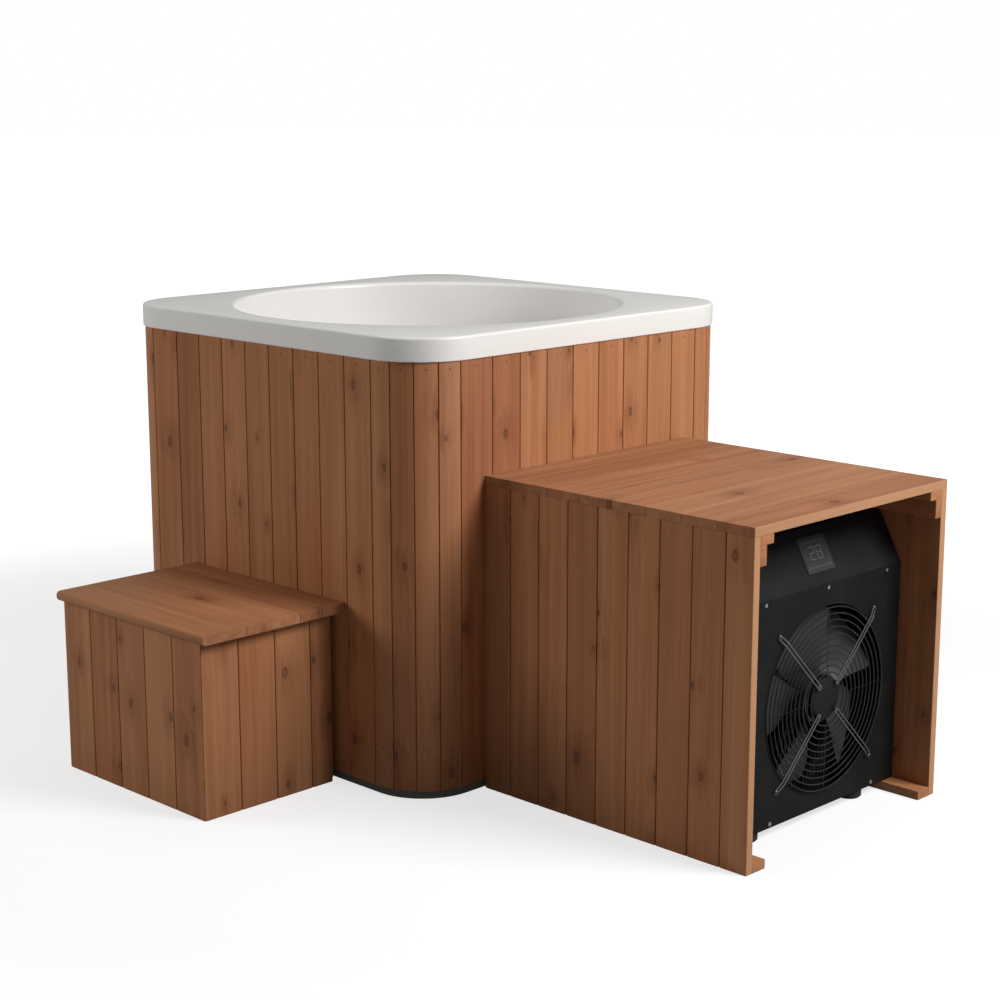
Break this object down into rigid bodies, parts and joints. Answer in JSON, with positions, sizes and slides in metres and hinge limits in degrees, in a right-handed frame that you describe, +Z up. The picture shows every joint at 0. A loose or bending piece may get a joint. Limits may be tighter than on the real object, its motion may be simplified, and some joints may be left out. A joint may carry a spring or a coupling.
{
  "type": "cold plunge tub",
  "caption": "Square board-clad cold plunge tub with rounded corners and a round white basin, a wooden step box in front and a wooden hood over a fan-cooled water chiller at the side.",
  "frame": {"origin": "middle of the tub's base tray, on the floor", "axes": "+X towards the chiller and its hood, -Y towards the step box, +Z up"},
  "size_m": [1.7628, 1.4268, 1.0055],
  "materials": {
    "shell": "gloss",
    "boards": "matte",
    "lumber": "matte",
    "plywood": "matte",
    "base": "matte",
    "foam": "matte",
    "pipe": "satin",
    "brass": "satin",
    "lever": "satin",
    "sheet": "satin",
    "screen": "gloss",
    "wire": "satin",
    "blade": "satin",
    "motor": "satin",
    "fins": "satin",
    "compressor": "satin",
    "rubber": "matte"
  },
  "bodies": {
    "tub": {"base_tray": "base", "bottom_frame": "plywood", "chiller_base_pan": "sheet", "chiller_foot_front_left": "rubber", "chiller_foot_front_right": "rubber", "chiller_foot_rear_left": "rubber", "chiller_foot_rear_right": "rubber", "chiller_front_panel": "sheet", "chiller_left_side": "sheet", "chiller_rear_panel": "sheet", "chiller_right_side": "sheet", "chiller_top_cover": "sheet", "circulation_pump": "motor", "cladding_back": "boards", "cladding_front": "boards", "cladding_left": "boards", "cladding_right": "boards", "compressor": "compressor", "condenser_coil": "fins", "corner_boards_back_left": "boards", "corner_boards_front_right": "boards", "corner_boards_left_front": "boards", "corner_boards_right_back": "boards", "corner_post_back_left": "lumber", "corner_post_front_right": "lumber", "corner_post_left_front": "lumber", "corner_post_right_back": "lumber", "display": "screen", "drain_pipe": "pipe", "drain_valve": "brass", "evaporator_tank": "pipe", "fan_guard": "wire", "fan_motor": "motor", "insulation_base": "foam", "insulation_jacket": "foam", "return_fitting": "pipe", "return_pipe": "pipe", "suction_fitting": "pipe", "suction_pipe": "pipe", "top_frame": "plywood", "tub_shell": "shell"},
    "fan": {"fan_rotor": "blade"},
    "drain_handle": {"drain_lever": "lever"},
    "hood": {"hood_runner_far": "lumber", "hood_runner_near": "lumber", "hood_side_batten_far": "lumber", "hood_side_batten_near": "lumber", "hood_side_far": "boards", "hood_side_near": "boards", "hood_top": "boards", "hood_top_block_far": "lumber", "hood_top_block_near": "lumber"},
    "step": {"step_back_post_left": "lumber", "step_back_post_right": "lumber", "step_front": "boards", "step_front_post_left": "lumber", "step_front_post_right": "lumber", "step_lid": "boards", "step_side_left": "boards", "step_side_right": "boards"}
  },
  "joints": [
    {"name": "fan_spin", "type": "hinge", "parent": "tub", "child": "fan", "pos_m": [1.1478, 0.05, 0.26], "axis": [1, 0, 0], "continuous": true},
    {"name": "drain_turn", "type": "hinge", "parent": "tub", "child": "drain_handle", "pos_m": [0.5711, 0, 0.1293], "axis": [0, 0, 1], "range_deg": [0, 90]},
    {"name": "hood_pull", "type": "slide", "parent": "tub", "child": "hood", "axis": [1, 0, 0], "range_m": [0, 0.75]},
    {"name": "step_pull", "type": "slide", "parent": "tub", "child": "step", "axis": [0, -1, 0], "range_m": [0, 0.5]}
  ]
}
